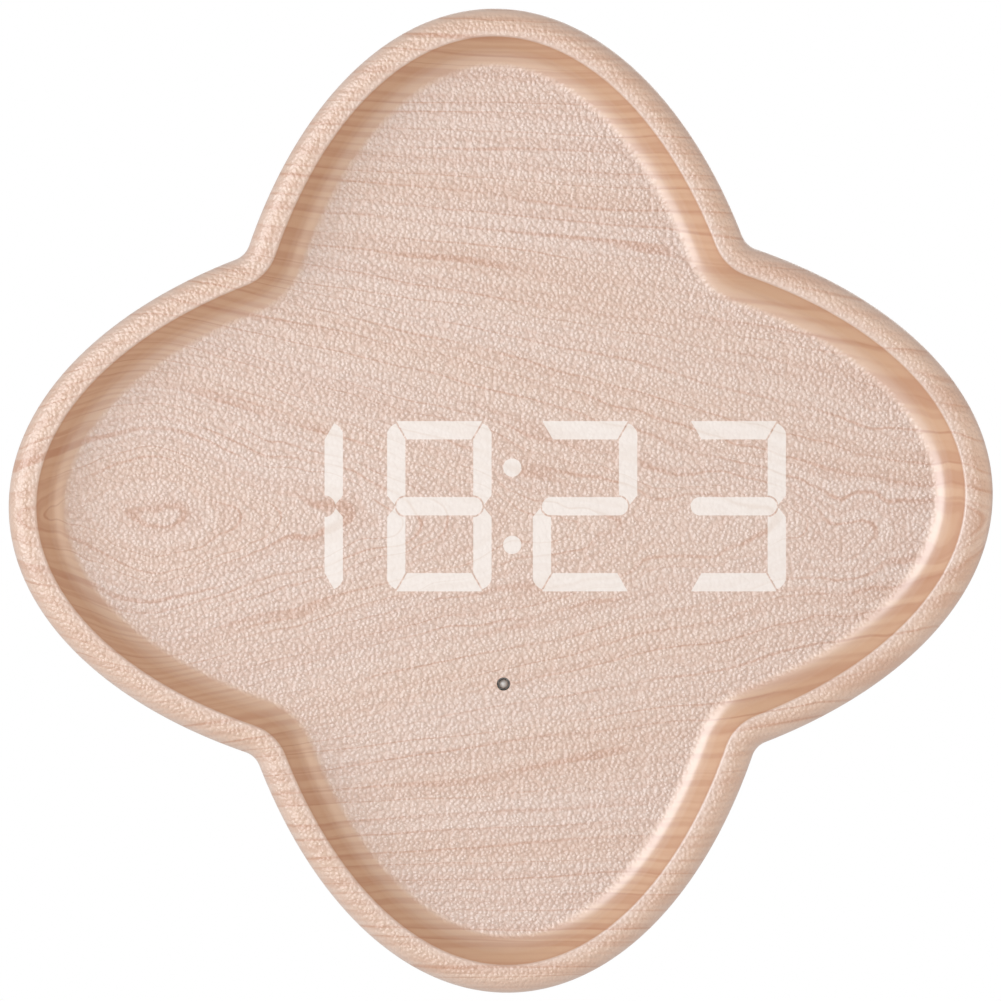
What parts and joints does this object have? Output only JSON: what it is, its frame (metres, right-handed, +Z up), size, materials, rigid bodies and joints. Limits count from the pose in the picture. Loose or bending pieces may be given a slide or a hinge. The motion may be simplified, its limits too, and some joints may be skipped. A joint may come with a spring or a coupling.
{
  "type": "led wall clock",
  "caption": "Four-lobed wooden dish wall clock whose seven-segment digits shine through a wood-grain film, with rear buttons, power switch, charging socket and keyhole hanger.",
  "frame": {"origin": "centre of the rear cover's outer face, which lies in the wall plane", "axes": "+X to the viewer's right, +Y into the wall, +Z up; the dish and its digits face -Y"},
  "size_m": [0.3, 0.034, 0.3],
  "materials": {
    "fibreboard": "routed fibreboard, bare at the back",
    "wood_film": "pale rosy maple grain film with a fine pebble emboss, satin",
    "lit_film": "diffuser sheet and grain film lit from behind, cream",
    "white_plastic": "satin",
    "circuit_board": "solder mask, satin",
    "black_plastic": "moulded, satin",
    "button_plastic": "moulded, fine grain",
    "cover_plastic": "moulded, fine spark-eroded texture",
    "black_foam": "closed-cell foam",
    "clear_lens": "clear epoxy",
    "nickel_steel": "nickel plated",
    "zinc_steel": "zinc plated sheet",
    "screw_steel": "nickel plated screw",
    "battery_wrap": "foil pouch",
    "adhesive_pad": "foam tape",
    "red_wire": "insulation",
    "black_wire": "insulation",
    "grey_ribbon": "flat insulation"
  },
  "bodies": {
    "clock_body": {"wood_body": "fibreboard", "grain_film": "wood_film", "diffuser_sheet": "lit_film", "segment_mask": "white_plastic", "display_board": "circuit_board", "light_sensor": "clear_lens", "sensor_shroud": "black_foam", "control_board": "circuit_board", "microcontroller": "black_plastic", "display_driver": "black_plastic", "buzzer": "black_plastic", "coin_cell_holder": "black_plastic", "coin_cell": "nickel_steel", "set_switch": "black_plastic", "up_switch": "black_plastic", "down_switch": "black_plastic", "power_switch": "nickel_steel", "charging_socket": "nickel_steel", "battery_pad": "adhesive_pad", "battery_pack": "battery_wrap", "battery_wire_red": "red_wire", "battery_wire_black": "black_wire", "ribbon_cable": "grey_ribbon", "rear_cover": "cover_plastic", "hanger_plate": "zinc_steel", "display_screw_1": "screw_steel", "display_screw_2": "screw_steel", "display_screw_3": "screw_steel", "display_screw_4": "screw_steel", "board_screw_1": "screw_steel", "board_screw_2": "screw_steel", "board_screw_3": "screw_steel", "board_screw_4": "screw_steel", "cover_screw_1": "screw_steel", "cover_screw_2": "screw_steel", "cover_screw_3": "screw_steel", "cover_screw_4": "screw_steel", "cover_screw_5": "screw_steel", "cover_screw_6": "screw_steel", "cover_screw_7": "screw_steel", "cover_screw_8": "screw_steel", "hanger_screw_1": "screw_steel", "hanger_screw_2": "screw_steel"},
    "set_button": {"set_button": "button_plastic", "set_plunger": "white_plastic"},
    "up_button": {"up_button": "button_plastic", "up_plunger": "white_plastic"},
    "down_button": {"down_button": "button_plastic", "down_plunger": "white_plastic"},
    "power_switch_knob": {"power_switch_knob": "button_plastic"}
  },
  "joints": [
    {"name": "set_press", "type": "slide", "parent": "clock_body", "child": "set_button", "axis": [0, -1, 0], "range_m": [0, 0.0005], "stiffness_N_per_m": 1500, "springref_m": -0.0005},
    {"name": "up_press", "type": "slide", "parent": "clock_body", "child": "up_button", "axis": [0, -1, 0], "range_m": [0, 0.0005], "stiffness_N_per_m": 1500, "springref_m": -0.0005},
    {"name": "down_press", "type": "slide", "parent": "clock_body", "child": "down_button", "axis": [0, -1, 0], "range_m": [0, 0.0005], "stiffness_N_per_m": 1500, "springref_m": -0.0005},
    {"name": "power_slide", "type": "slide", "parent": "clock_body", "child": "power_switch_knob", "axis": [1, 0, 0], "range_m": [0, 0.002]}
  ]
}
